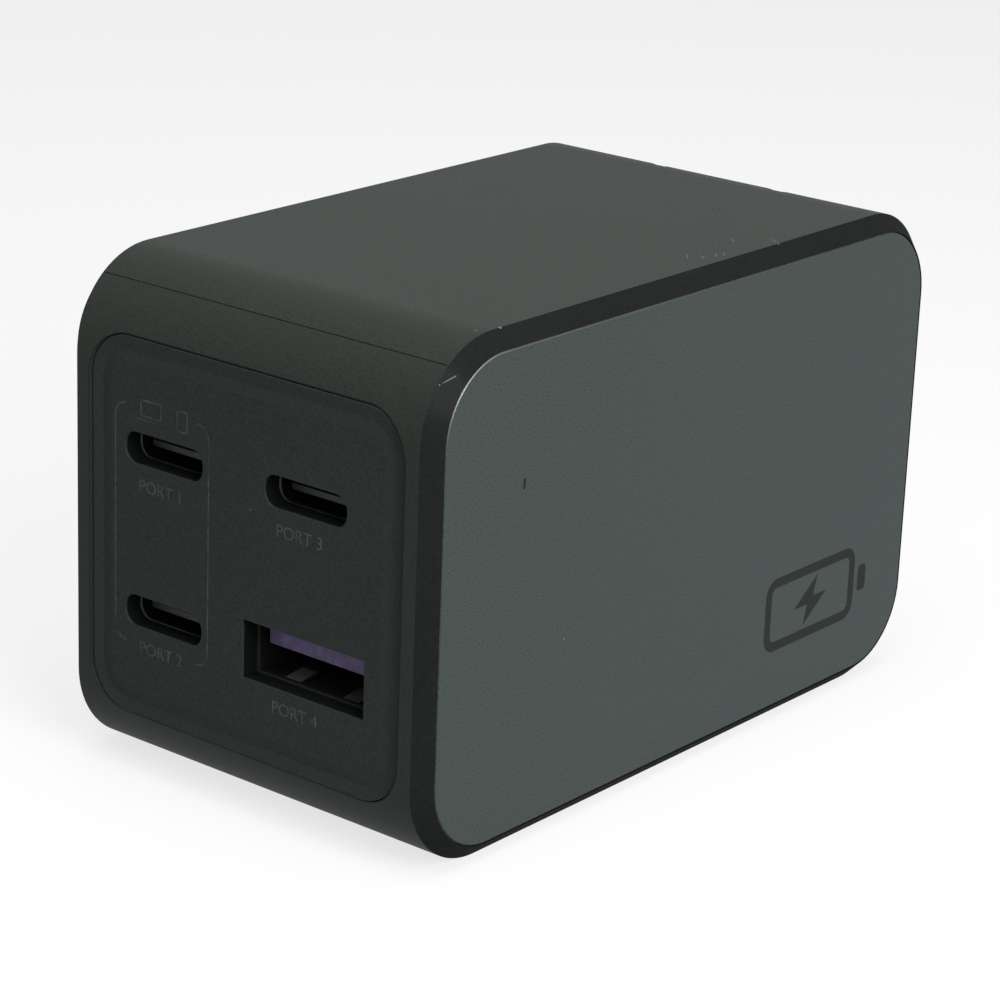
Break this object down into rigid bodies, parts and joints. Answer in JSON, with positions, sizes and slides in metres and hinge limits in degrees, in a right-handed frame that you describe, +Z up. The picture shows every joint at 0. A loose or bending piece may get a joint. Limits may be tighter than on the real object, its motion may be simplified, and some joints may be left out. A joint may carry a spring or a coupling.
{
  "type": "usb charging block",
  "caption": "Rounded rectangular wall charging block with USB-C and USB-A receptacles in front and a fold-away two-blade plug in slots at the back.",
  "frame": {"origin": "middle of the base, on the surface it rests on", "axes": "+Z up, ports face -Y, plug at +Y, +X to the right when facing the ports"},
  "size_m": [0.038, 0.0662, 0.042],
  "materials": {
    "shell_black": "fine spark-textured moulding",
    "panel_black": "fine matte moulding",
    "rim_black": "polished",
    "gunmetal": "satin with fine flakes",
    "port_steel": "satin",
    "tongue_grey": "satin",
    "tongue_violet": "satin",
    "contact_gold": "plated",
    "blade_nickel": "nickel plated",
    "plug_black": "satin",
    "screw_steel": "zinc plated",
    "spring_bronze": "satin",
    "wire_red": "satin",
    "wire_blue": "satin",
    "board_green": "solder mask",
    "ferrite": "sintered",
    "bobbin_black": "satin",
    "winding_tape": "taped",
    "winding_copper": "enamelled",
    "can_sleeve": "shrunk sleeve",
    "can_bare": "satin",
    "capacitor_yellow": "moulded",
    "capacitor_blue": "dipped",
    "fuse_case": "moulded",
    "chip_black": "moulded",
    "spreader_aluminium": "mill",
    "pad_grey": "soft",
    "film_clear": "film"
  },
  "bodies": {
    "housing": {"main_shell": "shell_black", "front_cover": "shell_black", "port_panel": "panel_black", "side_bezel_left": "rim_black", "side_bezel_right": "rim_black", "side_panel_left": "gunmetal", "side_panel_right": "gunmetal", "usb_c_shell_1": "port_steel", "usb_c_shell_2": "port_steel", "usb_c_shell_3": "port_steel", "usb_a_shell": "port_steel", "usb_c_tongue_1": "tongue_grey", "usb_c_tongue_2": "tongue_grey", "usb_c_tongue_3": "tongue_grey", "usb_a_tongue": "tongue_violet", "usb_c_contacts_1": "contact_gold", "usb_c_contacts_2": "contact_gold", "usb_c_contacts_3": "contact_gold", "usb_a_contacts": "contact_gold", "plug_retainer": "plug_black", "retainer_screws": "screw_steel", "contact_spring_left": "spring_bronze", "contact_spring_right": "spring_bronze", "detent_spring": "spring_bronze", "input_wire_left": "wire_red", "input_wire_right": "wire_blue", "main_board": "board_green", "port_board": "board_green", "transformer_core": "ferrite", "choke_core": "ferrite", "transformer_bobbin": "bobbin_black", "transformer_winding": "winding_tape", "choke_windings": "winding_copper", "bulk_capacitor_1": "can_sleeve", "bulk_capacitor_2": "can_sleeve", "output_capacitor_1": "can_bare", "output_capacitor_2": "can_bare", "x_capacitor": "capacitor_yellow", "y_capacitor": "capacitor_blue", "fuse": "fuse_case", "bridge_rectifier": "chip_black", "optocoupler": "chip_black", "power_switch": "chip_black", "sync_rectifier": "chip_black", "port_controller_1": "chip_black", "port_controller_2": "chip_black", "buck_inductor_1": "chip_black", "buck_inductor_2": "chip_black", "heat_spreader": "spreader_aluminium", "thermal_pad": "pad_grey", "board_pad": "pad_grey", "insulation_film": "film_clear"},
    "plug": {"plug_shaft": "plug_black", "plug_blade_left": "blade_nickel", "plug_blade_right": "blade_nickel"}
  },
  "joints": [
    {"name": "plug_fold", "type": "hinge", "parent": "housing", "child": "plug", "pos_m": [0, 0.0294, 0.01659], "axis": [-1, 0, 0], "range_deg": [0, 90]}
  ]
}
